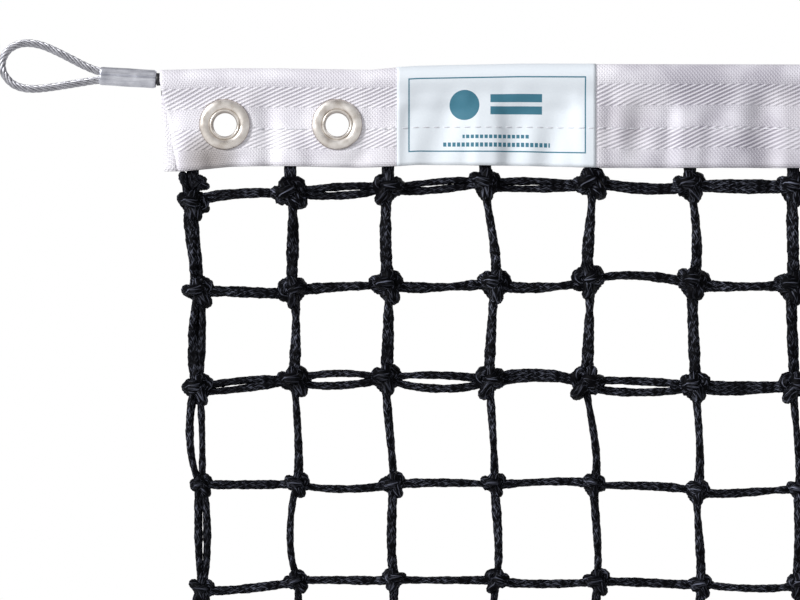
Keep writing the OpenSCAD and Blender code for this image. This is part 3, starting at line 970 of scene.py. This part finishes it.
def wire_rope(side):
    """Six strands wound right-handed round a core along the eye. Each strand's middle circles the
    route."""
    legs = [[along_ferrule(u, rise) for u in us] for us, rise in
            (((4, 12, 21, FERRULE_END), LEG_RISE), ((FERRULE_END, 21, 12, 8), -LEG_RISE))]
    u, w = through(legs[0] + EYE_ROUTE + legs[1], 340).T
    route = on_end(side, u, 0 * u, w)
    tangent = np.gradient(route, axis=0)
    tangent /= np.linalg.norm(tangent, axis=-1, keepdims=True)
    across_way = np.array([0, -1.0, 0])
    up = np.cross(tangent, across_way)
    along = np.concatenate([[0], np.cumsum(np.linalg.norm(np.diff(route, axis=0), axis=-1))])
    strand = rope_r / 3
    lay = 19.5 * MM
    angle = 2 * np.pi * (along[None] / lay + np.arange(6)[:, None] / 6)
    paths = route[None] + 2 * strand * (np.cos(angle)[..., None] * across_way + np.sin(angle)[..., None]
                                        * up[None])
    return [tubes(paths, strand * 0.98, 12), tubes(route[None], strand, 6)]


def ferrule(side):
    """An oval sleeve pressed in a die: a rounded oblong with a thin flash line and rounded ends."""
    ends = [(0, 0.5), (0, 0.84), (0.25, 0.93), (0.8, 0.985), (1.6, 1.0)]
    length = FERRULE_END - FERRULE_START
    stations = ends + [(u, 1.0) for u in np.linspace(4, length - 4, 9)] + [(length - u, s) for u,
                                                                           s in reversed(ends)]
    u, size = np.array(stations).T
    sides = 240
    angle = 2 * np.pi * np.arange(sides) / sides
    power = 2 / 2.7
    depth = 3.1 * np.sign(np.cos(angle)) * np.abs(np.cos(angle))**power
    height = 4.6 * np.sign(np.sin(angle)) * np.abs(np.sin(angle))**power
    flash_at = np.degrees(angle)
    flash = sum(0.14 * np.exp(-((flash_at - at - beside * 6) / 4)**2)
                - 0.5 * np.exp(-((flash_at - at) / 2.6)**2)
                for at, beside in ((5, 1), (175, -1)))
    depth = depth * (1 + flash / 3.1)
    dents = 1 + 0.012 * np.sin(2.1 * u)[:, None] * np.sin(2 * angle + 1)[None]
    outwards, upwards = along_ferrule((FERRULE_START + u)[:, None], size[:, None] * dents * height[None])
    points = on_end(side, outwards, size[:, None] * dents * depth[None], upwards)
    if side == LEFT:
        points = points[:, ::-1]
    turn = np.broadcast_to(np.arange(sides + 1) / sides, (len(u), sides + 1))
    along = np.broadcast_to(u[:, None] * MM, turn.shape)
    return skin(points[None], turn[None], along[None], wrap=True, caps=True)


def lathe(profile, centre, sides, wobble):
    """A closed outline (radius, y) in millimetres turned round an axis along Y, with small dents where
    it stands proud."""
    radius, y = np.array(profile).T * MM
    angle = 2 * np.pi * np.arange(sides) / sides
    dents = sum(rng.normal(0, 1)
                * np.cos(k * angle + rng.uniform(0, 2 * np.pi)) for k in (2, 3, 5, 8, 13)) * wobble
    proud = np.clip((radius - 8 * MM) / (4 * MM), 0, 1)[:, None]
    r = radius[:, None] + dents[None] * proud
    points = np.stack([centre[0] + r * np.cos(angle), y[:, None] + 0 * r - 0.6 * dents[None] * proud,
                       centre[2] + r * np.sin(angle)], axis=-1)
    turn = np.broadcast_to(np.arange(sides + 1) / sides, (len(y) + 1, sides + 1))
    steps = np.concatenate([[0], np.cumsum(np.hypot(*np.diff(np.concatenate([profile, profile[:1]]),
                                                             axis=0).T))]) * MM
    return skin(points[None], turn[None], np.broadcast_to(steps[:, None], turn.shape)[None], wrap=True,
                loop=True)


WASHER = [(7.75, -3.2), (7.75, -3.9), (8.0, -4.25), (8.5, -4.62), (9.4, -4.88), (10.4, -4.88), (11.5, -4.62),
          (12.3, -4.15),
          (12.65, -3.6), (12.6, -3.2)]
EYELET = [(5.9, 4.4), (5.9, 1.0), (6.05, -1.8), (6.3, -3.6), (6.6, -4.5), (6.9, -4.75), (7.15, -4.6),
          (7.4, -4.2), (7.68, -4.0), (7.6, -3.3), (6.8, 3.2), (12.6, 3.2),
          (12.65, 3.6), (12.3, 4.15), (11.3, 4.65), (9.8, 4.88), (8.3, 4.85), (6.9, 4.75), (6.3, 4.65)]


def make_fittings(wire, ferrule_metal, nickel, eyelet_nickel, jacket):
    for side, name in ((LEFT, "left"), (RIGHT, "right")):
        body = f"{name}_eye"
        piece(f"{name}_eye_strands", wire_rope(side), wire, body, (f"{name}_eye_rope",))
        sharp(piece(f"{name}_pressed_ferrule", [ferrule(side)], ferrule_metal, body, (f"{name}_ferrule",)), 40)
        reach = np.linspace(-9, 2.2, 24)
        neck = tubes(on_end(side, reach, 0 * reach, 0 * reach)[None],
                     (jacket_r + (0.1 + 0.35 * eased((reach + 3) / 3) - 1.5 * eased((reach - 0.7) / 0.6))
                      * MM)[None, :, None], 20)
        fitted = piece(f"{name}_jacket_neck", [neck], jacket)
        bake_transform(fitted)
        for place, centre in (("outer", grommet_middles[0 if side == LEFT else 3]),
                              ("inner", grommet_middles[1 if side == LEFT else 2])):
            for part, profile, metal in (("washer", WASHER, nickel), ("eyelet", EYELET, eyelet_nickel)):
                piece(f"{name}_{place}_turned_{part}", [lathe(profile, centre, 72, 0.05 * MM)], metal,
                      "headband",
                      (f"{name}_{place}_{part}",))


def sharp(made, degrees):
    """Creases the shading where faces meet at more than this angle."""
    made.data.set_sharp_from_angle(angle=math.radians(degrees))


def repaint(node, material):
    """Gives a CAD node that stays in view its finish."""
    mesh = frame["nodes"][node].data
    mesh.materials.clear()
    mesh.materials.append(material)


# ---------------------------------------------------------------- the whole net

make_camera()
make_world()
make_lights()
grid_middles, grid_turns, grid_sizes, grid_hands = knot_grid()
twine = twine_finish()
wire = wire_finish()
jacket = jacket_finish()
make_netting(twine)
make_headband(webbing_finish(), label_finish(), thread_finish())
# The nickel finishes get painted shade: dark brown on the washers' outer rims and on the eyelets' inner walls.
make_fittings(wire,
              metal_finish("ferrule_metal", (0.42, 0.43, 0.48), (0.78, 0.79, 0.84), 0.36, (60, 700, 700)),
              metal_finish("nickel", (0.62, 0.56, 0.50), (0.97, 0.93, 0.88), 0.33, (220, 220, 220),
                           (6.0 * MM, 8.0 * MM)),
              metal_finish("eyelet_nickel", (0.62, 0.56, 0.50), (0.97, 0.93, 0.88), 0.33, (220, 220, 220),
                           (-1.0 * MM, 7.9 * MM)), jacket)
repaint("rope_run", wire)
repaint("rope_jacket", jacket)
repaint("head_twine", twine)
make_floor(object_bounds()[0][2] - 0.5 * MM)
